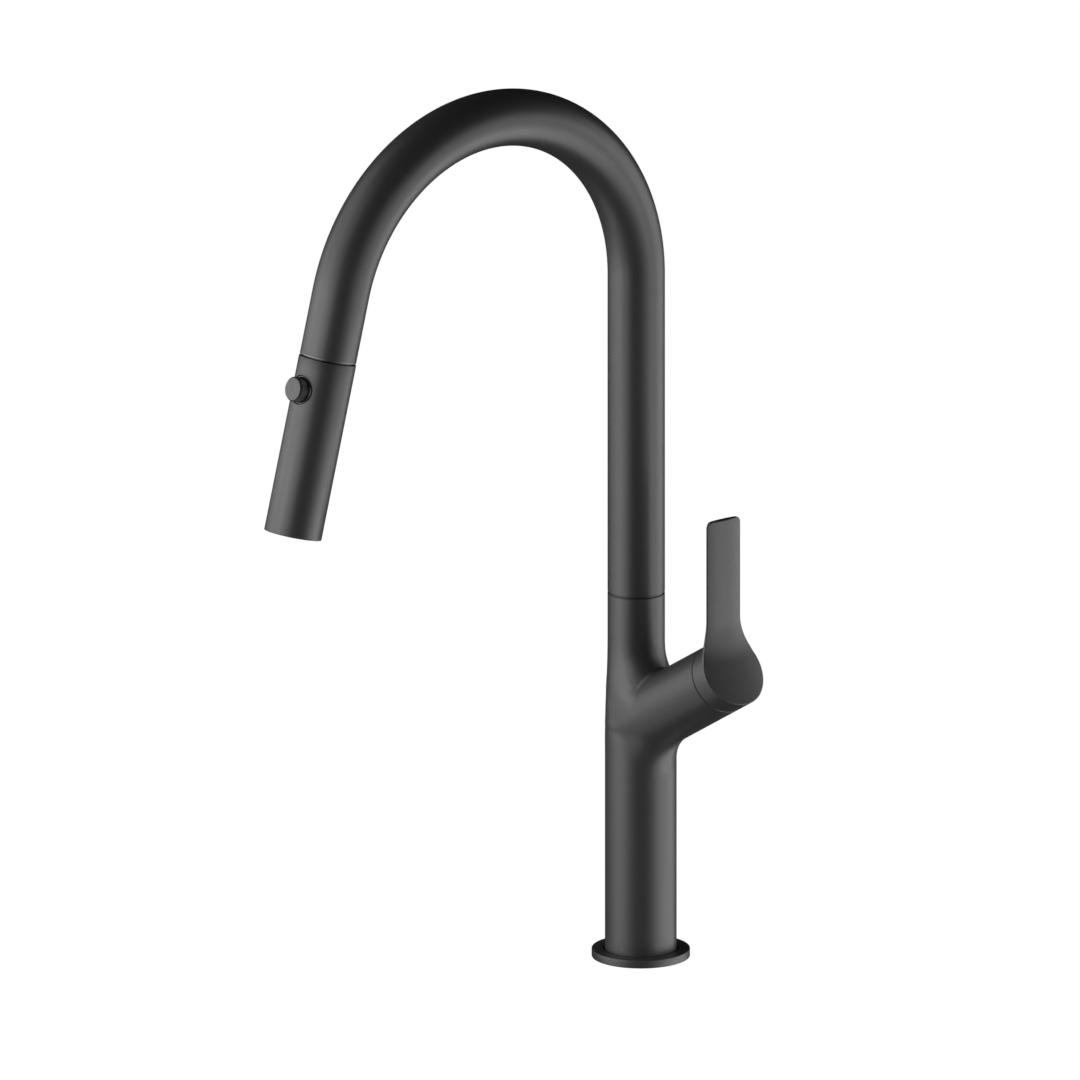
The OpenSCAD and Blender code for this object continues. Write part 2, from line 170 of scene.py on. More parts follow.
class FaucetSettings(bpy.types.PropertyGroup):
    """Sizes and colours that a user would change."""
    coat: FloatVectorProperty(
        name="Coat", description="Colour of the satin black coating", subtype="COLOR",
        size=3, min=0, max=1, default=(0.027, 0.0267, 0.0266))
    coat_roughness: FloatProperty(
        name="Coat roughness", description="How matt the coating is", subtype="FACTOR",
        min=0, max=1, default=0.4)
    grain: length("Grain size", "Size of the coating's grain", 0.35 * MM)
    upper_fillet: length(
        "Upper fillet", "Fillet between the body and the top of the branch", 1.3 * MM)
    flare_depth: length(
        "Flare depth", "How far the body flares out at the top of the branch", 3.8 * MM)
    flare_reach: length(
        "Flare reach", "Distance from the branch at which the flare starts", 14 * MM)
    lower_fillet: length(
        "Lower fillet", "Fillet between the body and the underside of the branch", 25 * MM)
    edge: length("Edge radius", "Rounding of the machined edges", 0.3 * MM)
    lever_edge: length("Lever edge radius", "Rounding of the blade's edges", 0.45 * MM)
    crown: length("Lever crown", "How far the lever's face bulges across its width", 1.5 * MM)
    body_cell: length("Body mesh size", "Spacing of the body casting's mesh", 0.82 * MM)
    lever_cell: length(
        "Lever mesh size", "Spacing of the lever casting's mesh", BLADE_HALF / 28)
    around: IntProperty(
        name="Steps around", description="Faces around a turned part", default=144, min=48)
    braid_pitch: length("Braid pitch", "Length of one diamond of the hose braid", 1.6 * MM)
    strong_light: watts("Strong light", 6.8)
    middle_light: watts("Middle light", 4.8)
    soft_light: watts("Soft light", 3.1)


def settings():
    """This scene's settings."""
    return bpy.context.scene.faucet


# ------------------------------------------------------------ mesh helpers
def placed(place, local):
    """Turns local coordinates (..., 3) into the frame's: origin + x, y and z parts."""
    return place.origin + local @ np.stack((place.x, place.y, place.z))


def grid_faces(rows, columns, wrap_rows=False, wrap_columns=False):
    """Quads of a grid whose vertex (i, j) has the number i * columns + j."""
    i, j = np.meshgrid(
        np.arange(rows if wrap_rows else rows - 1),
        np.arange(columns if wrap_columns else columns - 1), indexing="ij")
    below = ((i + 1) % rows) * columns
    right = (j + 1) % columns
    quads = np.stack((i * columns + j, below + j, below + right, i * columns + right), -1)
    return quads.reshape(-1, 4)


def outward(verts, faces):
    """Turns all faces round if the closed surface's signed volume is negative."""
    a, b, c = (verts[faces[:, k]] for k in (0, 1, 2))
    volume = np.einsum("ij,ij->i", a, np.cross(b, c)).sum()
    if faces.shape[1] == 4:
        d = verts[faces[:, 3]]
        volume += np.einsum("ij,ij->i", a, np.cross(c, d)).sum()
    return faces if volume > 0 else faces[:, ::-1]


def piece_from(name, parts, sharp=32):
    """One mesh object from a list of (verts, faces) shells, shaded smooth but for sharp edges."""
    verts, faces, start = [], [], 0
    for points, polygons in parts:
        points = points.reshape(-1, 3)
        faces += (outward(points, polygons) + start).tolist()
        verts.append(points)
        start += len(points)
    mesh = bpy.data.meshes.new(name)
    mesh.from_pydata(np.concatenate(verts), [], faces)
    mesh.validate()
    mesh.shade_smooth()
    mesh.set_sharp_from_angle(angle=math.radians(sharp))
    piece = bpy.data.objects.new(name, mesh)
    bpy.context.scene.collection.objects.link(piece)
    return piece


def finish_piece(piece, body, slot, *nodes, material=None):
    """Rides the piece on its body, stands it for its frame nodes and gives it its finish,
    which is the slot's own unless another is named."""
    piece.data.materials.append(finish(material or slot))
    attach(piece, body)
    if nodes:
        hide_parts(*nodes)


def mesh_arrays(mesh, sides):
    """Vertices and equal-sided faces of a scratch mesh, which is then removed."""
    points = np.empty(len(mesh.vertices) * 3)
    mesh.vertices.foreach_get("co", points)
    numbers = np.empty(len(mesh.loops), int)
    mesh.loops.foreach_get("vertex_index", numbers)
    bpy.data.meshes.remove(mesh)
    return points.reshape(-1, 3), numbers.reshape(-1, sides)


def eased(outline, cut, steps=4):
    """Rounds each corner of a closed outline with a curve that starts cut from the corner.
    Point t of a corner p between a and b is (1-t)^2 (p+ca) + 2t(1-t) p + t^2 (p+cb)."""
    point = np.array(outline, float)
    cut = np.broadcast_to(np.asarray(cut, float), len(point))[:, None]
    before = np.roll(point, 1, 0) - point
    after = np.roll(point, -1, 0) - point
    before = before / np.linalg.norm(before, axis=1, keepdims=True) * cut
    after = after / np.linalg.norm(after, axis=1, keepdims=True) * cut
    t = np.linspace(0, 1, steps + 1)[None, :, None]
    curve = (1 - t) ** 2 * (point + before)[:, None] + 2 * t * (1 - t) * point[:, None]
    return (curve + t ** 2 * (point + after)[:, None]).reshape(-1, 2)


def turned(place, outline, around):
    """A closed outline of (radius, height) turned about the place's z axis:
    x = radius cos u, y = radius sin u, z = height."""
    u = np.linspace(0, 2 * np.pi, around, endpoint=False)[:, None]
    radius, height = np.asarray(outline).T
    local = np.stack((radius * np.cos(u), radius * np.sin(u), height + 0 * u), -1)
    return placed(place, local), grid_faces(around, len(outline), True, True)


def spout_frame(s):
    """Centre and outward normal of the spout's axis at distance s from the bend's start:
    straight up, then a circle of radius BEND_R through SWEEP, then straight along PULL."""
    turn = np.clip(s / BEND_R, 0, SWEEP)
    normal = np.stack((0 * s, np.cos(turn), np.sin(turn)), -1)
    along = np.stack((0 * s, -np.sin(turn), np.cos(turn)), -1)
    centre = np.array((TUBE_X, -BEND_R, BEND_Z)) + BEND_R * normal
    rest = s - turn * BEND_R
    return centre + rest[:, None] * along, normal


def swept(radius, s, around):
    """An outline of (radius, distance) carried along the spout's axis:
    point = centre(s) + radius (cos u normal + sin u SIDE)."""
    centre, normal = spout_frame(s)
    u = np.linspace(0, 2 * np.pi, around, endpoint=False)[:, None, None]
    return centre + radius[:, None] * (np.cos(u) * normal + np.sin(u) * SIDE)


def spout_stations(low, high, step):
    """Distances from low to high, dense on the bend and with one step on a straight."""
    bend = np.linspace(0, SWEEP * BEND_R, int(SWEEP * BEND_R / step))
    return np.concatenate(([low], bend, [high]))


# ------------------------------------------------------------ blended castings
def slopes(field, points, step=0.02 * MM):
    """Gradient of the field at each point, by central differences."""
    offsets = np.eye(3) * step
    return np.stack([(field(points + o) - field(points - o)) / (2 * step) for o in offsets], -1)


def fillet(a, b, cosine, radius):
    """Union of two distances with a rolling-ball fillet. The ball's centre is radius from
    both faces; cosine is that of the angle between the faces' normals."""
    square = np.maximum(1 - cosine ** 2, 1e-4)
    reach_a, reach_b = radius - a, radius - b
    between = (reach_a > cosine * reach_b) & (reach_b > cosine * reach_a)
    centre = np.sqrt(np.maximum(
        (reach_a ** 2 + reach_b ** 2 - 2 * cosine * reach_a * reach_b) / square, 0))
    return np.where(between, np.minimum(radius - centre, np.minimum(a, b)), np.minimum(a, b))


def rounded_cut(a, b, radius):
    """Intersection of two distances whose edge is rounded to the radius."""
    inner = np.minimum(np.maximum(a, b), -radius)
    return inner + np.hypot(np.maximum(a + radius, 0), np.maximum(b + radius, 0))


def net_surface(field, low, high, cell):
    """Surface net of field = 0: one vertex in each cell that the surface crosses, at the
    mean of its edge crossings, and one quad around each grid edge that crosses."""
    axes = [np.arange(a, b + cell, cell) for a, b in zip(low, high)]
    grid = np.stack(np.meshgrid(*axes, indexing="ij"), -1)
    value = field(grid)

    def corner(array, c):
        return array[tuple(slice(k, n - 1 + k) for k, n in zip(c, value.shape))]

    cube = np.indices((2, 2, 2)).reshape(3, -1).T
    filled = sum(corner(value < 0, c).astype(np.int8) for c in cube)
    mixed = (filled > 0) & (filled < 8)
    number = np.full(mixed.shape, -1)
    number[mixed] = np.arange(mixed.sum())
    total = np.zeros((mixed.sum(), 3))
    count = np.zeros((mixed.sum(), 1))
    quads = []
    for axis in range(3):
        step = np.eye(3, dtype=int)
        for c in cube[cube[:, axis] == 0]:
            start = corner(value, c)[mixed]
            end = corner(value, c + step[axis])[mixed]
            crosses = (start < 0) != (end < 0)
            share = np.where(crosses, start / np.where(crosses, start - end, 1), 0)
            point = corner(grid, c)[mixed] + share[:, None] * cell * step[axis]
            total += np.where(crosses[:, None], point, 0)
            count += crosses[:, None]
        u, v = step[(axis + 1) % 3], step[(axis + 2) % 3]
        first = value[tuple(slice(0, -1) if k == axis else slice(1, -1) for k in range(3))] < 0
        last = value[tuple(slice(1, None) if k == axis else slice(1, -1) for k in range(3))] < 0
        at = np.argwhere(first != last) + u + v
        around = np.stack([number[tuple((at - o).T)] for o in (0 * u, u, u + v, v)], -1)
        forward = first[first != last]
        quads.append(np.where(forward[:, None], around, around[:, ::-1]))
    return total / count, np.concatenate(quads)


def settled(field, points, rounds=6):
    """Moves points along the field's slope until they lie on field = 0."""
    for _ in range(rounds):
        slope = slopes(field, points)
        size = np.maximum(np.einsum("ij,ij->i", slope, slope), 0.05)
        points = points - (field(points) / size)[:, None] * slope
    return points


def clipped(verts, quads, planes):
    """Triangles of the surface on the inner side of each (point, normal) plane."""
    mesh = bpy.data.meshes.new("clip")
    mesh.from_pydata(verts, [], quads.tolist())
    cutter = bmesh.new()
    cutter.from_mesh(mesh)
    for point, normal in planes:
        everything = cutter.verts[:] + cutter.edges[:] + cutter.faces[:]
        bmesh.ops.bisect_plane(
            cutter, geom=everything, dist=1e-7, plane_co=Vector(point),
            plane_no=Vector(normal), clear_outer=True)
    bmesh.ops.triangulate(cutter, faces=cutter.faces[:])
    cutter.to_mesh(mesh)
    cutter.free()
    return mesh_arrays(mesh, 3)


def open_edges(triangles, count):
    """Directed edges that only one triangle uses."""
    edges = np.concatenate((triangles[:, :2], triangles[:, 1:], triangles[:, [2, 0]]))
    key = edges[:, 0] * count + edges[:, 1]
    back = edges[:, 1] * count + edges[:, 0]
    return edges[~np.isin(key, back)]


def lined(verts, triangles, rings, last=None):
    """Adds rings of vertices inside the open edges. Each ring is a function of the rim's
    vertices and their numbers. The last ring joins the vertices whose numbers last gives
    for the rim's, or closes on its middle."""
    edges = open_edges(triangles, len(verts))
    rim = np.unique(edges)
    where = np.searchsorted(rim, edges)
    outer = rim
    verts, faces = [verts], [triangles]
    count = len(verts[0])
    for ring in rings:
        verts.append(ring(verts[0][rim], rim))
        inner = count + np.arange(len(rim))
        count += len(rim)
        faces.append(joined(outer, inner, where))
        outer = inner
    if last is not None:
        faces.append(joined(outer, last[rim], where))
    else:
        middle = verts[-1].mean(0, keepdims=True)
        verts.append(middle)
        faces.append(np.stack(
            (outer[where[:, 1]], outer[where[:, 0]], np.full(len(where), count)), -1))
    return np.concatenate(verts), np.concatenate(faces)


def joined(outer, inner, where):
    """Triangles between two rings that share the rim's directed edges."""
    a, b = outer[where[:, 0]], outer[where[:, 1]]
    c, d = inner[where[:, 1]], inner[where[:, 0]]
    return np.concatenate((np.stack((b, a, d), -1), np.stack((b, d, c), -1)))


# ------------------------------------------------------------ body and lever fields
# Heights between which the column narrows to the tube
TAPER_LOW = 110 * MM
TAPER_HIGH = 160 * MM


def ease(t):
    """Smooth step: 3t^2 - 2t^3 between 0 and 1."""
    t = np.clip(t, 0, 1)
    return t * t * (3 - 2 * t)


def body_field(points):
    """Distance to the body casting: a column that narrows and leans back to the tube, and
    a branch of the column's diameter, joined by fillets that fade where they are tangent."""
    x, y, z = np.moveaxis(points, -1, 0)
    share = ease((z - TAPER_LOW) / (TAPER_HIGH - TAPER_LOW))
    from_x = x - TUBE_X * share
    reach = np.hypot(from_x, y)
    column = reach - (BODY_R + (TUBE_R - BODY_R) * share)
    local = (points - ARM.origin) @ np.stack((UNDER, ACROSS, BRANCH)).T
    under, across, along = np.moveaxis(local, -1, 0)
    behind = np.minimum(along, 0)
    radius = np.sqrt(under ** 2 + across ** 2 + behind ** 2)
    branch = radius - BODY_R
    branch_x = (under * UNDER[0] + behind * BRANCH[0]) / np.maximum(radius, 1e-6)
    cosine = (from_x * branch_x + y * across / np.maximum(radius, 1e-6)) / np.maximum(reach, 1e-6)
    cosine = np.clip(cosine, -1, 1)
    own = settings()
    low = ease((under + BODY_R / 2) / BODY_R)
    close = np.clip(1 - np.abs(branch) / own.flare_reach, 0, 1)
    fade = ease((0.85 - cosine) / 0.6)
    flared = column - own.flare_depth * close ** 2 * fade * (1 - low)
    wide = np.maximum(low, ease((cosine - 0.15) / 0.8))
    return fillet(flared, branch, cosine, own.upper_fillet * (1 - wide) + own.lower_fillet * wide)


# Heights above the hub's centre between which the face narrows to the blade
NECK_LOW = 6 * MM
NECK_HIGH = 26 * MM
BEND_FRONT = 36 * MM
BLADE_CORNER = 3.2 * MM


def neck_half(v):
    """Half width of the lever face at height v above the hub's centre: a cubic that leaves
    the round hub along its tangent and settles into the straight blade."""
    start = math.sqrt(BODY_R ** 2 - NECK_LOW ** 2)
    rise = NECK_HIGH - NECK_LOW
    flare = 2 - rise * NECK_LOW / (start * (start - BLADE_HALF))
    t = np.clip((v - NECK_LOW) / rise, 0, 1)
    return BLADE_HALF + (start - BLADE_HALF) * (1 - t) ** 2 * (1 + flare * t)


def lever_field(points):
    """Distance to the lever casting: a plate that follows the hub's face and bends up into
    the blade, cut to the face's outline, with the round hub behind it."""
    local = (points - ARM.origin) @ np.stack((UNDER, ACROSS, BRANCH)).T
    under, _, along = np.moveaxis(local, -1, 0)
    x, y, z = np.moveaxis(points, -1, 0)
    v = -under
    cosine = BRANCH[0]
    edge = settings().lever_edge * (0.6 + 0.4 * ease((v - NECK_LOW) / (NECK_HIGH - NECK_LOW)))
    front = fillet(along - HUB_FACE, x - BLADE_FRONT, cosine, BEND_FRONT)
    half = neck_half(np.maximum(v, NECK_LOW))
    front = front + settings().crown * (y / half) ** 2
    back_radius = BEND_FRONT + BLADE_T
    leaning, upright = HUB_FACE - PLATE_T - along, BLADE_FRONT - BLADE_T - x
    back = -fillet(-leaning, -upright, cosine, back_radius)
    back = back + 0.75 * settings().crown * (y / half) ** 2
    slope = (neck_half(v + MM) - neck_half(v - MM)) / (2 * MM)
    neck = (np.abs(y) - neck_half(v)) / np.hypot(1, slope)
    hub_circle = np.hypot(v, y) - BODY_R
    outline = np.where(v > NECK_LOW, neck, hub_circle)
    outline = rounded_cut(outline, z - BLADE_TOP, BLADE_CORNER)
    thick = np.maximum(front, back)
    plate = rounded_cut(thick, outline, edge)
    hub = np.maximum(hub_circle, along - (HUB_FACE - 2 * MM))
    root = 1.5 * MM * ease((v - NECK_LOW) / NECK_LOW)
    near = np.maximum(root - np.abs(plate - hub), 0)
    return np.minimum(plate, hub) - near ** 2 / (4 * np.maximum(root, 1e-6))


# ------------------------------------------------------------ materials
def shader(name, colour, roughness, metallic=0.0):
    """A new material with its Principled shader set, and its node tree's parts."""
    material = bpy.data.materials.new(name)
    material.use_nodes = True
    tree = material.node_tree
    surface = tree.nodes["Principled BSDF"]
    surface.inputs["Base Color"].default_value = (*colour, 1)
    surface.inputs["Roughness"].default_value = roughness
    surface.inputs["Metallic"].default_value = metallic
    material.diffuse_color = (*colour, 1)
    return material, tree, surface


def node(tree, kind, **values):
    """A new node with its properties and input values set by name."""
    made = tree.nodes.new(kind)
    for key, value in values.items():
        if key in made.inputs:
            made.inputs[key].default_value = value
        else:
            setattr(made, key, value)
    return made


def object_noise(tree, size, detail=2.0, stretch=(1, 1, 1)):
    """Noise on Object coordinates whose blobs are about size metres across."""
    where = node(tree, "ShaderNodeTexCoord")
    turn = node(tree, "ShaderNodeMapping")
    turn.inputs["Scale"].default_value = stretch
    noise = node(tree, "ShaderNodeTexNoise", Scale=1 / size, Detail=detail)
    tree.links.new(where.outputs["Object"], turn.inputs["Vector"])
    tree.links.new(turn.outputs["Vector"], noise.inputs["Vector"])
    return noise.outputs["Fac"]


def ranged(tree, value, low, high):
    """Maps a 0 to 1 noise value to low..high over its middle half."""
    spread = node(tree, "ShaderNodeMapRange")
    spread.inputs["From Min"].default_value = 0.25
    spread.inputs["From Max"].default_value = 0.75
    spread.inputs["To Min"].default_value = low
    spread.inputs["To Max"].default_value = high
    tree.links.new(value, spread.inputs["Value"])
    return spread.outputs["Result"]


def tinted(tree, value, colour, spread):
    """Colour that varies by the share spread with a 0 to 1 value."""
    ramp = node(tree, "ShaderNodeValToRGB")
    ramp.color_ramp.elements[0].position = 0.3
    ramp.color_ramp.elements[1].position = 0.7
    ramp.color_ramp.elements[0].color = (*[c * (1 - spread) for c in colour], 1)
    ramp.color_ramp.elements[1].color = (*[min(c * (1 + spread), 1) for c in colour], 1)
    tree.links.new(value, ramp.inputs["Fac"])
    return ramp.outputs["Color"]


def bumped(tree, surface, height, depth, strength=1.0):
    """Feeds a height in 0 to 1, times depth metres, to the surface's normal."""
    bump = node(tree, "ShaderNodeBump", Strength=strength, Distance=depth)
    tree.links.new(height, bump.inputs["Height"])
    tree.links.new(bump.outputs["Normal"], surface.inputs["Normal"])


def grained(name, colour, roughness, metallic, grain, depth, spread=0.12, haze=0.04,
            stretch=(1, 1, 1)):
    """A finish with a fine grain in its colour and height and a slow haze in its gloss.
    The grain's size and depth are in millimetres."""
    material, tree, surface = shader(name, colour, roughness, metallic)
    fine = object_noise(tree, grain * MM, 3, stretch)
    slow = object_noise(tree, 18 * MM)
    tree.links.new(tinted(tree, fine, colour, spread), surface.inputs["Base Color"])
    gloss = ranged(tree, slow, roughness - haze, roughness + haze)
    tree.links.new(gloss, surface.inputs["Roughness"])
    bumped(tree, surface, fine, depth * MM)
    return material


def maths(tree, operation, *inputs):
    """Output of a Math node whose inputs are numbers or other nodes' outputs."""
    sum_node = node(tree, "ShaderNodeMath", operation=operation)
    for socket, value in zip(sum_node.inputs, inputs):
        if isinstance(value, (int, float)):
            socket.default_value = value
        else:
            tree.links.new(value, socket)
    return sum_node.outputs[0]


def braided(name, pitch, strands=12):
    """Nylon braid on the hose's own UV map: height = sin a sin b, where a and b run along
    the two families of strands, with light and dark yarns."""
    material, tree, surface = shader(name, (0.09, 0.09, 0.095), 0.5)
    where = node(tree, "ShaderNodeUVMap", uv_map="braid")
    parts = node(tree, "ShaderNodeSeparateXYZ")
    tree.links.new(where.outputs["UV"], parts.inputs["Vector"])
    turn = maths(tree, "MULTIPLY", parts.outputs["X"], 2 * math.pi * strands)
    rise = maths(tree, "MULTIPLY", parts.outputs["Y"], 2 * math.pi / pitch * MM)
    waves = [maths(tree, "SINE", maths(tree, way, turn, rise)) for way in ("ADD", "SUBTRACT")]
    height = maths(tree, "MULTIPLY_ADD", maths(tree, "MULTIPLY", *waves), 0.5, 0.5)
    tree.links.new(tinted(tree, height, (0.11, 0.11, 0.115), 0.75), surface.inputs["Base Color"])
    bumped(tree, surface, height, 0.35 * MM)
    return material


MATERIALS = {}


def finish(slot):
    """The material of a slot of the record, made once."""
    if not MATERIALS:
        own = settings()
        size = own.grain / MM
        MATERIALS.update({
            "satin_black": grained("satin_black_coat", tuple(own.coat), own.coat_roughness,
                                   0, size, 0.004, 0.1, 0.02),
            # Lighter grey metal for the spout's end chamfer ring: a painted highlight where the edge catches
            # light, not wear
            "painted_highlight_edge": grained("painted_highlight_chamfer", (0.17, 0.17, 0.17), 0.36, 1,
                                 size, 0.002, 0.1, 0.02),
            "black_plastic": grained("black_acetal", (0.009, 0.009, 0.0095), 0.36, 0, 0.5, 0.006),
            "black_rubber": grained("nitrile_rubber", (0.016, 0.016, 0.016), 0.65, 0, 0.4, 0.01),
            "grey_rubber": grained("silicone_nozzle", (0.09, 0.092, 0.096), 0.5, 0, 0.4, 0.006),
            "brass": grained("machined_brass", (0.72, 0.53, 0.24), 0.28, 1,
                             0.25, 0.004, 0.1, 0.06, (1, 1, 9)),
            "copper": grained("drawn_copper", (0.75, 0.38, 0.24), 0.3, 1,
                              0.3, 0.004, 0.12, 0.08, (6, 6, 1)),
            "ceramic": grained("lapped_ceramic", (0.86, 0.85, 0.81), 0.16, 0,
                               0.2, 0.001, 0.02, 0.03),
            "white_plastic": grained("natural_acetal", (0.78, 0.77, 0.72), 0.38, 0,
                                     0.6, 0.005, 0.03),
            "steel": grained("brushed_stainless", (0.58, 0.58, 0.59), 0.3, 1,
                             0.25, 0.003, 0.08, 0.05, (1, 1, 12)),
            "magnet": grained("nickel_plate", (0.62, 0.6, 0.56), 0.2, 1,
                              0.5, 0.002, 0.05, 0.04),
            "braid": braided("nylon_braid", own.braid_pitch),
        })
    return MATERIALS[slot]


# ------------------------------------------------------------ operators
class FAUCET_OT_base(bpy.types.Operator):
    """Turn the base flange with its eased edges, foot pocket and gasket groove"""
    bl_idname = "faucet.base"
    bl_label = "Base flange"

    def execute(self, context):
        bore, groove_in, groove_out, groove = np.array((16.2, 19, 21.5, 1.3)) * MM
        pocket = BODY_R + 0.9 * MM
        outline = [
            (bore, 0), (groove_in, 0), (groove_in, groove), (groove_out, groove),
            (groove_out, 0), (FLANGE_R, 0), (FLANGE_R, FLANGE_H), (pocket, FLANGE_H),
            (pocket, FOOT_Z), (bore, FOOT_Z)]
        cut = np.full(len(outline), 0.08 * MM)
        cut[5:7] = settings().edge
        shell = turned(COLUMN, eased(outline, cut), settings().around)
        finish_piece(piece_from("base_flange_turned", [shell]), "body", "satin_black",
                     "base_flange")
        return {"FINISHED"}


class FAUCET_OT_body(bpy.types.Operator):
    """Cast the body: column, leaning branch and the fillets between them"""
    bl_idname = "faucet.body"
    bl_label = "Body casting"

    wall = 1.65 * MM
    margin = 2 * MM

    def execute(self, context):
        edge = settings().edge
        cell = settings().body_cell
        ends = [
            (np.array((0, 0, FOOT_Z)), -UP, 0.0),
            (np.array((TUBE_X, 0, SEAM_LOW - SEAM_EASE)), UP, edge),
            (ARM.origin + BRANCH_END * BRANCH, BRANCH, edge / 2)]
        low = np.array((-BODY_R, -BODY_R, FOOT_Z)) - self.margin
        high = np.array((BRANCH_END - self.margin, BODY_R, SEAM_LOW)) + self.margin
        verts, quads = net_surface(body_field, low, high, cell)
        verts = settled(body_field, verts)
        planes = [(at - ease_by * out, out) for at, out, ease_by in ends]
        verts, triangles = clipped(verts, quads, planes)
        verts = settled(body_field, verts, 1)
        normal = slopes(body_field, verts)
        normal = normal / np.linalg.norm(normal, axis=1, keepdims=True)
        out = self.end_axes(verts, ends)
        count = len(verts)
        inner = verts - self.wall * normal
        shell = np.concatenate((verts, inner))
        rings = [
            lambda rim, k: rim + out[k] - np.linalg.norm(out[k], axis=1)[:, None] * normal[k],
            lambda rim, k: rim + out[k] - (self.wall - edge) * normal[k]]
        verts, faces = lined(shell, triangles, rings, count + np.arange(count))
        faces = np.concatenate((faces, triangles[:, ::-1] + count))
        piece = piece_from("body_casting", [(verts, faces)], 40)
        finish_piece(piece, "body", "satin_black", "body_shell")
        return {"FINISHED"}

    @staticmethod
    def end_axes(verts, ends):
        """For each vertex, the step from the eased edge to the end face that it is nearest."""
        distance = np.stack([np.abs((verts - at) @ out + by) for at, out, by in ends], -1)
        steps = np.stack([out * by for _, out, by in ends])
        return steps[distance.argmin(1)]


class FAUCET_OT_spout(bpy.types.Operator):
    """Bend the spout tube, with an eased edge at each end and a lighter metal ring at its chamfer, a painted
    highlight
    """
    bl_idname = "faucet.spout"
    bl_label = "Spout tube"

    def execute(self, context):
        edge = settings().edge
        low = SEAM_HIGH + SEAM_EASE - BEND_Z
        high = SWEEP * BEND_R + TAIL_L - SPOUT_END
        outer = spout_stations(low + edge, high - edge, 1.4 * MM)
        inner = spout_stations(low, high, 2.8 * MM)[::-1]
        bore = TUBE_R - TUBE_WALL
        s = np.concatenate((outer, [high, high], inner, [low]))
        radius = np.concatenate((
            np.full(len(outer), TUBE_R), [TUBE_R - edge * 0.3, TUBE_R - edge],
            np.full(len(inner), bore), [TUBE_R - edge]))
        around = settings().around
        points = swept(radius, s, around)
        piece = piece_from("spout_bent_tube", [(points, grid_faces(around, len(s), True, True))])
        finish_piece(piece, "spout", "satin_black", "spout_tube")
        proud = 0.02 * MM
        inside, outside = TUBE_R - 0.5 * MM, TUBE_R + proud
        foot, rise = -SPOUT_END - 0.6 * MM, -SPOUT_END - 0.4 * MM
        chamfer = [(inside, foot), (outside, foot), (outside, rise), (inside, -SPOUT_END + proud)]
        ring = turned(HEAD, eased(chamfer, 0.03 * MM), around)
        # The chamfer ring takes the lighter metal: a painted highlight along the spout's end
        finish_piece(piece_from("spout_end_chamfer", [ring]), "spout", "satin_black",
                     material="painted_highlight_edge")
        return {"FINISHED"}


class FAUCET_OT_lever(bpy.types.Operator):
    """Cast the lever: round hub, flared face and upright blade in one piece"""
    bl_idname = "faucet.lever"
    bl_label = "Lever handle"

    def execute(self, context):
        cell = settings().lever_cell
        edge = settings().edge / 2
        box_low, box_high = corners("handle_lever")
        edges_at = np.array((BLADE_FRONT, BLADE_HALF, BLADE_TOP)) - cell / 2
        low = edges_at - cell * np.ceil((edges_at - box_low + np.array((6, 2, 2)) * MM) / cell)
        high = box_high + 2 * MM
        verts, quads = net_surface(lever_field, low, high, cell)
        verts = settled(lever_field, verts)
        cut = ARM.origin + (HUB_START + edge) * BRANCH
        verts, triangles = clipped(verts, quads, [(cut, -BRANCH)])
        axis_at = ARM.origin + HUB_START * BRANCH
        depth = HUB_START - PIVOT_L

        def ring(radius, along):
            def points(rim, _):
                radial = rim - axis_at
                radial = radial - (radial @ BRANCH)[:, None] * BRANCH
                radial = radial / np.linalg.norm(radial, axis=1, keepdims=True)
                return axis_at + along * BRANCH + radius * radial
            return points

        mouth = math.sqrt(BALL_R ** 2 - depth ** 2)
        rings = [ring(BODY_R - edge * 0.3, edge * 0.3), ring(BODY_R - edge, 0), ring(mouth, 0)]
        for angle in np.linspace(math.asin(mouth / BALL_R), 0.02, 14)[1:]:
            rings.append(ring(BALL_R * math.sin(angle), BALL_R * math.cos(angle) - depth))
        piece = piece_from("lever_casting", [lined(verts, triangles, rings)], 40)
        finish_piece(piece, "handle", "satin_black", "handle_lever")
        return {"FINISHED"}


class FAUCET_OT_plug(bpy.types.Operator):
    """Turn the small plug over the lever's grub screw"""
    bl_idname = "faucet.plug"
    bl_label = "Screw plug"

    def execute(self, context):
        place = Place(ARM.origin + 80.5 * MM * BRANCH, ACROSS, BRANCH, UNDER)
        radius, foot, top = 1.4 * MM, 16 * MM, BODY_R + 0.04 * MM
        outline = [(POLE_R, foot), (radius, foot), (radius, top), (POLE_R, top)]
        cut = np.array((0.005, 0.005, 0.15, 0.005)) * MM
        shell = turned(place, eased(outline, cut), 48)
        finish_piece(piece_from("lever_screw_plug", [shell]), "handle", "black_plastic",
                     "screw_plug")
        return {"FINISHED"}


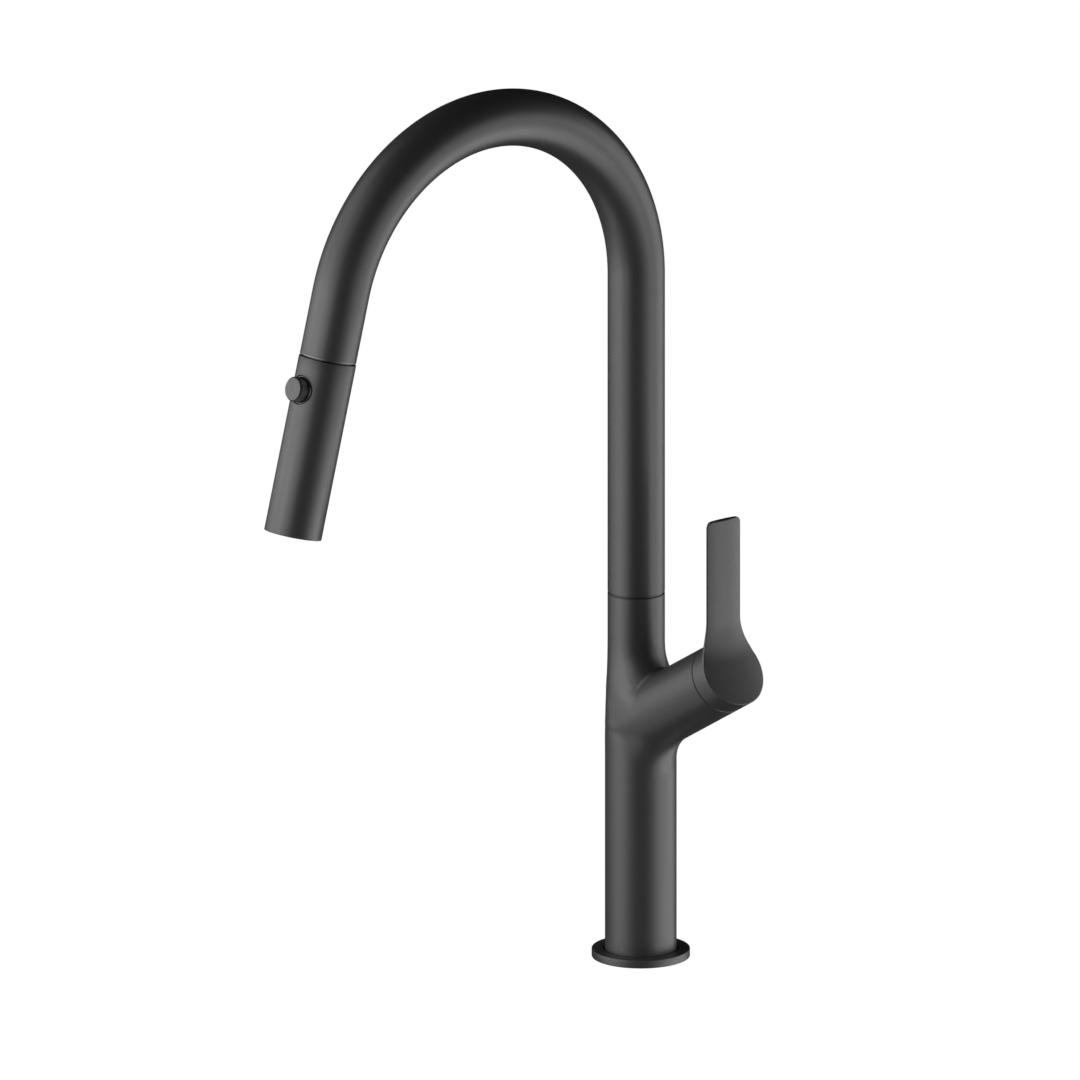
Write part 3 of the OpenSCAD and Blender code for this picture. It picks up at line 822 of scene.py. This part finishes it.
class FAUCET_OT_head(bpy.types.Operator):
    """Turn the spray head's shell with its eased ends and the hole for the button"""
    bl_idname = "faucet.head"
    bl_label = "Spray head shell"

    inner = HEAD_R - 1.5 * MM
    patch = 9.8 * MM          # half the side of the square round the button
    cells = 24                # faces along a side of that square
    around = 160

    def execute(self, context):
        edge = settings().edge
        top, bottom = 0.4 * MM, HEAD_L
        side = self.patch / HEAD_R
        rest = self.around - self.cells + 1
        turns = np.concatenate((
            np.linspace(-side, side, self.cells + 1),
            np.linspace(side, 2 * np.pi - side, rest)[1:-1]))
        rows = BUTTON_AT + self.patch * np.linspace(-1, 1, self.cells + 1)
        parts = [
            self.wall_grid(HEAD_R, turns, np.concatenate(([top + edge], rows, [bottom - edge]))),
            self.wall_grid(self.inner, turns, np.concatenate(([top], rows, [bottom])))]
        parts += self.rims(turns, top, bottom, edge) + self.hole()
        piece = piece_from("spray_head_shell", [self.welded(parts)], 35)
        finish_piece(piece, "spray_head", "satin_black", "head_shell")
        return {"FINISHED"}

    @staticmethod
    def wrapped(radius, turn, z):
        """Point on the head's cylinder: x = r sin turn, y = r cos turn, z along the head."""
        return placed(HEAD, np.stack((radius * np.sin(turn), radius * np.cos(turn), z), -1))

    def wall_grid(self, radius, turns, z):
        """Cylinder wall without the square around the button."""
        turn, height = np.meshgrid(turns, z, indexing="ij")
        faces = grid_faces(len(turns), len(z), wrap_rows=True)
        column, row = faces[:, 0] // len(z), faces[:, 0] % len(z)
        keep = ~((column < self.cells) & (row >= 1) & (row <= self.cells))
        return self.wrapped(radius, turn, height).reshape(-1, 3), faces[keep]

    def rims(self, turns, top, bottom, edge):
        """Eased edges and flat rims that join the two walls at both ends."""
        made = []
        for end, sign in ((top, 1), (bottom, -1)):
            radii = np.array((HEAD_R, HEAD_R - edge * 0.3, HEAD_R - edge, self.inner))
            z = end + sign * edge * np.array((1, 0.3, 0, 0))
            turn = np.broadcast_to(turns[:, None], (len(turns), 4))
            points = self.wrapped(radii + 0 * turn, turn, z + 0 * turn)
            faces = grid_faces(len(turns), 4, wrap_rows=True)
            made.append((points.reshape(-1, 3), faces if sign < 0 else faces[:, ::-1]))
        return made

    def hole(self):
        """Square patches that run from the wall's grid in to the round hole, on both walls,
        and the hole's own wall between them: (1-t) circle + t square in the unrolled wall."""
        step = np.linspace(-1, 1, self.cells + 1)[:-1]
        one = np.ones(self.cells)
        sides = ((step, -one), (one, step), (-step, one), (-one, -step))
        square = np.concatenate([np.stack(pair, -1) for pair in sides])
        angle = np.arctan2(square[:, 1], square[:, 0])
        t = np.linspace(0, 1, 9)[None, :]
        made, rims = [], []
        for r, sense in ((HEAD_R, 1), (self.inner, -1)):
            side = self.patch / HEAD_R
            circle_turn = np.arcsin(BUTTON_HOLE * np.cos(angle) / r)[:, None]
            circle_z = (BUTTON_HOLE * np.sin(angle))[:, None]
            turn = (1 - t) * circle_turn + t * (square[:, :1] * side)
            z = BUTTON_AT + (1 - t) * circle_z + t * square[:, 1:] * self.patch
            points = self.wrapped(r, turn, z)
            faces = grid_faces(len(square), 9, wrap_rows=True)
            made.append((points.reshape(-1, 3), faces if sense > 0 else faces[:, ::-1]))
            rims.append(points[:, 0])
        faces = grid_faces(len(square), 2, wrap_rows=True)[:, ::-1]
        return made + [(np.stack(rims, 1).reshape(-1, 3), faces)]

    @staticmethod
    def welded(parts):
        """One closed surface from parts whose edges coincide, with faces turned outwards."""
        verts, faces, start = [], [], 0
        for points, quads in parts:
            verts.append(points)
            faces.append(quads + start)
            start += len(points)
        mesh = bpy.data.meshes.new("weld")
        mesh.from_pydata(np.concatenate(verts), [], np.concatenate(faces).tolist())
        work = bmesh.new()
        work.from_mesh(mesh)
        bmesh.ops.remove_doubles(work, verts=work.verts[:], dist=0.01 * MM)
        bmesh.ops.recalc_face_normals(work, faces=work.faces[:])
        work.to_mesh(mesh)
        work.free()
        return mesh_arrays(mesh, 4)


class FAUCET_OT_button(bpy.types.Operator):
    """Turn the spray button's knurled cap, its face and the guide ring around it"""
    bl_idname = "faucet.button"
    bl_label = "Spray button"

    top = 18.8 * MM
    root = 12 * MM
    side = 6.1 * MM
    knurl_from = 6.09 * MM    # beyond this radius the knurl is cut
    knurls = 120

    def execute(self, context):
        face = self.top - 0.03 * MM
        cap = [(POLE_R, self.root), (self.side, self.root), (self.side, self.top - 0.7 * MM),
               (5.55 * MM, face), (POLE_R, face)]
        cut = np.array((0.005, 0.1, 0.12, 0.12, 0.005)) * MM
        steps = 3 * self.knurls
        body, faces = turned(BUTTON, self.knurled(eased(cap, cut, 3)), steps)
        local = (body - BUTTON.origin) @ np.stack((BUTTON.x, BUTTON.y, BUTTON.z)).T
        reach = np.hypot(local[..., 0], local[..., 1])
        valley = (np.arange(steps) % 3 == 0)[:, None] * (reach > self.knurl_from)
        local[..., :2] *= (1 - 0.12 * MM * valley / reach)[..., None]
        stem_end, stem_r = self.root + 0.2 * MM, 3 * MM
        stem = turned(BUTTON, [(POLE_R, 9.5 * MM), (stem_r, 9.5 * MM), (stem_r, stem_end),
                               (POLE_R, stem_end)], 48)
        piece = piece_from("spray_button_cap", [(placed(BUTTON, local), faces), stem])
        finish_piece(piece, "spray_button", "black_plastic", "button_cap")
        disc_r, back = 5.5 * MM, self.top - 0.5 * MM
        disc = [(POLE_R, back), (disc_r, back), (disc_r, self.top), (POLE_R, self.top)]
        cut = np.array((0.005, 0.005, 0.1, 0.005)) * MM
        piece = piece_from("spray_button_face", [turned(BUTTON, eased(disc, cut), 96)])
        finish_piece(piece, "spray_button", "satin_black")
        guide = np.array(((6.32, 9), (7.25, 9), (7.25, 10.4), (6.8, 10.4), (6.8, 13.5),
                          (6.32, 13.5))) * MM
        piece = piece_from("button_guide_ring", [turned(BUTTON, eased(guide, 0.08 * MM), 96)])
        finish_piece(piece, "spray_head", "black_plastic", "button_guide")
        return {"FINISHED"}

    def knurled(self, outline):
        """The cap's outline with more points up its side, where the knurl is cut."""
        side = np.flatnonzero(outline[:, 0] > self.knurl_from)
        rise = np.linspace(0.1, 0.9, 5)[:, None]
        more = outline[side[0]] + rise * (outline[side[-1]] - outline[side[0]])
        return np.concatenate((outline[:side[0] + 1], more, outline[side[-1]:]))


class FAUCET_OT_nozzles(bpy.types.Operator):
    """Mould the silicone spray nozzles in two rings"""
    bl_idname = "faucet.nozzles"
    bl_label = "Spray nozzles"

    def execute(self, context):
        tip, root = HEAD_L - 0.5 * MM, 77.5 * MM
        bore, mouth, side = 0.25 * MM, 0.5 * MM, 0.6 * MM
        outline = eased([(bore, root), (side, root), (side, tip - MM), (mouth, tip),
                         (bore, tip)], 0.06 * MM, 2)
        outer = self.ring_places(24, 11.1 * MM, 0)
        inner = self.ring_places(18, 9.3 * MM, math.radians(5))
        nubs = [self.nub(outline, at) for at in np.concatenate((outer, inner))]
        mat = np.array(((8.6, 76.4), (11.8, 76.4), (11.8, 77.6), (8.6, 77.6))) * MM
        piece = piece_from("silicone_nozzles", [turned(HEAD, eased(mat, 0.1 * MM), 96)] + nubs)
        finish_piece(piece, "spray_head", "grey_rubber", "spray_nozzles")
        return {"FINISHED"}

    @staticmethod
    def ring_places(count, radius, start):
        """Evenly spaced places on a circle in the head's cross-section."""
        u = start + np.arange(count) * 2 * math.pi / count
        return radius * np.stack((np.cos(u), np.sin(u)), -1)

    @staticmethod
    def nub(outline, at):
        """One tapered nozzle with its bore."""
        place = HEAD._replace(origin=HEAD.origin + at[0] * HEAD.x + at[1] * HEAD.y)
        return turned(place, outline, 12)


class FAUCET_OT_hose(bpy.types.Operator):
    """Draw the braided hose through the spout: a run that rides on the spout and an end piece whose braid is laid
    out for the length pulled out with the head
    """
    bl_idname = "faucet.hose"
    bl_label = "Braided hose"

    around = 64

    def execute(self, context):
        foot, tail, collar = 36 * MM, 9.1 * MM, 17 * MM
        low = foot - BEND_Z
        dock = SWEEP * BEND_R + TAIL_L
        high = dock - tail
        start = SWEEP * BEND_R + 2 * MM
        end = dock - collar
        split = start - MM
        stretch = np.concatenate((
            [split], np.linspace(start, end, 90), np.linspace(end + 0.5 * MM, high, 8)))
        run = self.hose("braided_hose_run", spout_stations(low, split, 4 * MM), low, start, end)
        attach(run, "spout")
        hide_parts("hose_run")
        piece = self.hose("braided_hose_end", stretch, low, start, end)
        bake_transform(piece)
        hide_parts("hose_stub")
        return {"FINISHED"}

    def hose(self, name, stations, low, start, end):
        """A length of hose through the stations, closed at both ends."""
        s = np.concatenate(([stations[0]], stations, [stations[-1]]))
        radius = np.concatenate(([POLE_R], np.full(len(stations), HOSE_R), [POLE_R]))
        points = swept(radius, s, self.around)
        piece = piece_from(name, [(points, grid_faces(self.around, len(s), wrap_rows=True))])
        self.lay_braid(piece, s, low, start, end)
        piece.data.materials.append(finish("braid"))
        return piece

    def lay_braid(self, piece, s, low, start, end):
        """UV map: u goes round the hose, v is the distance along it in millimetres once the
        head is fully out, so the braid keeps its size on the stretch that comes out."""
        share = ease((s - start) / (end - start))
        v = (s - low + PULL_RANGE * share) / MM
        around = self.around
        mesh = piece.data
        numbers = np.empty(len(mesh.loops), int)
        mesh.loops.foreach_get("vertex_index", numbers)
        column, row = numbers // len(s), numbers % len(s)
        column = column.reshape(-1, 4)
        wraps = (column.max(1) - column.min(1) > around // 2)[:, None]
        column = np.where(wraps & (column == 0), around, column).ravel()
        layer = mesh.uv_layers.new(name="braid")
        layer.data.foreach_set("uv", np.stack((column / around, v[row]), -1).ravel())


class FAUCET_OT_spring(bpy.types.Operator):
    """Wind the spray button's return spring"""
    bl_idname = "faucet.spring"
    bl_label = "Button spring"

    def execute(self, context):
        wire, coil, turns = 0.32 * MM, 3.2 * MM, 5
        seat, length_free = -9.2 * MM, 5.1 * MM
        low, high = seat + wire, seat + length_free - wire
        steps = turns * 32 + 1
        t = np.linspace(0, 1, steps)
        angle = 2 * np.pi * turns * t
        radial = np.stack((np.cos(angle), np.sin(angle), 0 * t), -1)
        centre = coil * radial + np.stack((0 * t, 0 * t, low + (high - low) * t), -1)
        u = np.linspace(0, 2 * np.pi, 10, endpoint=False)[:, None, None]
        size = wire * np.where((t == 0) | (t == 1), 0.05, 1)[:, None]
        points = centre + size * (np.cos(u) * radial + np.sin(u) * UP)
        faces = grid_faces(10, steps, wrap_rows=True)
        piece = piece_from("button_return_spring", [(placed(BUTTON, points), faces)])
        finish_piece(piece, "spray_head", "steel", "button_spring")
        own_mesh(piece)
        return {"FINISHED"}


class FAUCET_OT_inner_parts(bpy.types.Operator):
    """Give every frame node that still shows its own finish"""
    bl_idname = "faucet.inner_parts"
    bl_label = "Inner parts"

    def execute(self, context):
        slots = {s["node"]: s["material_slot"] for s in frame["record"]["subparts"]}
        for name, part in frame["nodes"].items():
            part.data.materials.clear()
            part.data.materials.append(finish(slots[name]))
        return {"FINISHED"}


class FAUCET_OT_stage(bpy.types.Operator):
    """Set the pale floor and backdrop, the soft boxes around the faucet and the camera"""
    bl_idname = "faucet.stage"
    bl_label = "Stage"

    azimuth = math.radians(50.4)
    elevation = math.radians(15.88)
    frame_width = 0.5268
    distance = 5.0
    aim_right, aim_up = -0.04916, 0.20255    # the view's middle, from the origin
    middle = Vector((0, -0.05, 0.23))        # the point that the soft boxes face
    box_side = 0.9
    box_distance = 1.2
    high, low = 35, -38

    def execute(self, context):
        own = settings()
        self.add_backdrop()
        # Turns from the camera and lifts, in degrees: the left side is the brighter one
        left = ((-110, 0), (-60, self.high), (-100, self.high), (-70, self.low))
        for power, places in (
                (own.strong_light, ((-50, 0), (-80, 0), (70, self.low))),
                (own.middle_light, ((110, 0), (110, self.low))),
                (own.soft_light, ((50, 0), (80, 0)) + left)):
            for turn, lift in places:
                self.add_light(turn, lift, power)
        self.add_camera(context)
        world = bpy.data.worlds.new("studio")
        world.use_nodes = True
        background = world.node_tree.nodes["Background"]
        background.inputs["Color"].default_value = (1, 1, 1, 1)
        background.inputs["Strength"].default_value = 0.01
        context.scene.world = world
        context.scene.view_settings.view_transform = "Standard"
        return {"FINISHED"}

    def direction(self, turn, lift):
        """Unit vector towards a place turned from the camera's azimuth, at an elevation."""
        a = self.azimuth + math.radians(turn)
        e = math.radians(lift)
        return Vector((math.sin(a) * math.cos(e), -math.cos(a) * math.cos(e), math.sin(e)))

    def add_backdrop(self):
        """A pale floor disc and a pale ball around the scene that only the camera sees."""
        rings, around = 24, 96
        for name, radius, height, curl in (("floor", 6, -0.5 * MM, 0), ("backdrop", 12, 0, 1)):
            t = np.linspace(0, 1, rings)
            reach = np.where(curl, np.sin(t * math.pi), t) * radius
            rise = np.where(curl, np.cos(t * math.pi) * radius, 0) + height
            u = np.linspace(0, 2 * np.pi, around, endpoint=False)[:, None]
            points = np.stack((reach * np.cos(u), reach * np.sin(u), rise + 0 * u), -1)
            mesh = bpy.data.meshes.new(name)
            faces = grid_faces(around, rings, wrap_rows=True)
            mesh.from_pydata(points.reshape(-1, 3), [], faces.tolist())
            stage = bpy.data.objects.new(name, mesh)
            bpy.context.scene.collection.objects.link(stage)
            material, _, surface = shader(name + "_white", (0.02, 0.02, 0.02), 0.9)
            surface.inputs["Emission Color"].default_value = (1, 1, 1, 1)
            surface.inputs["Emission Strength"].default_value = 1.0
            surface.inputs["Specular IOR Level"].default_value = 0
            mesh.materials.append(material)
            stage.visible_glossy = False
            stage.visible_diffuse = False
            stage.visible_shadow = False

    def add_light(self, turn, lift, power):
        """A square soft box that faces the faucet's middle."""
        light = bpy.data.lights.new("soft_box", "AREA")
        light.shape = "SQUARE"
        light.size = self.box_side
        light.energy = power
        lamp = bpy.data.objects.new("soft_box", light)
        lamp.location = self.middle + self.direction(turn, lift) * self.box_distance
        lamp.rotation_euler = (self.middle - lamp.location).to_track_quat("-Z", "Z").to_euler()
        bpy.context.scene.collection.objects.link(lamp)

    def add_camera(self, context):
        """A camera without perspective, as from far off with a long lens."""
        camera = bpy.data.cameras.new("camera")
        camera.type = "ORTHO"
        camera.ortho_scale = self.frame_width
        camera.clip_end = 100
        right = Vector((math.cos(self.azimuth), math.sin(self.azimuth), 0))
        towards = self.direction(0, math.degrees(self.elevation))
        above = towards.cross(right)
        target = self.aim_right * right + self.aim_up * above
        eye = bpy.data.objects.new("camera", camera)
        eye.location = target + towards * self.distance
        eye.rotation_euler = (-towards).to_track_quat("-Z", "Y").to_euler()
        bpy.context.scene.collection.objects.link(eye)
        context.scene.camera = eye


class FAUCET_PT_panel(bpy.types.Panel):
    """Sidebar panel that lists the pieces"""
    bl_label = "Faucet"
    bl_idname = "FAUCET_PT_panel"
    bl_space_type = "VIEW_3D"
    bl_region_type = "UI"
    bl_category = "Faucet"

    def draw(self, context):
        own = context.scene.faucet
        for name in own.bl_rna.properties.keys():
            if name not in ("rna_type", "name"):
                self.layout.prop(own, name)
        for operator in OPERATORS:
            self.layout.operator(operator.bl_idname)


OPERATORS = (
    FAUCET_OT_base, FAUCET_OT_body, FAUCET_OT_spout, FAUCET_OT_lever, FAUCET_OT_plug,
    FAUCET_OT_head, FAUCET_OT_button, FAUCET_OT_nozzles, FAUCET_OT_hose, FAUCET_OT_spring,
    FAUCET_OT_inner_parts, FAUCET_OT_stage)


def register():
    for cls in (FaucetSettings, *OPERATORS, FAUCET_PT_panel):
        bpy.utils.register_class(cls)
    bpy.types.Scene.faucet = PointerProperty(type=FaucetSettings)


def unregister():
    del bpy.types.Scene.faucet
    for cls in reversed((FaucetSettings, *OPERATORS, FAUCET_PT_panel)):
        bpy.utils.unregister_class(cls)


def main():
    register()
    bpy.ops.faucet.inner_parts()
    bpy.ops.faucet.base()
    bpy.ops.faucet.body()
    bpy.ops.faucet.spout()
    bpy.ops.faucet.lever()
    bpy.ops.faucet.plug()
    bpy.ops.faucet.head()
    bpy.ops.faucet.button()
    bpy.ops.faucet.nozzles()
    bpy.ops.faucet.hose()
    bpy.ops.faucet.spring()
    bpy.ops.faucet.stage()


if __name__ == "__main__":
    main()
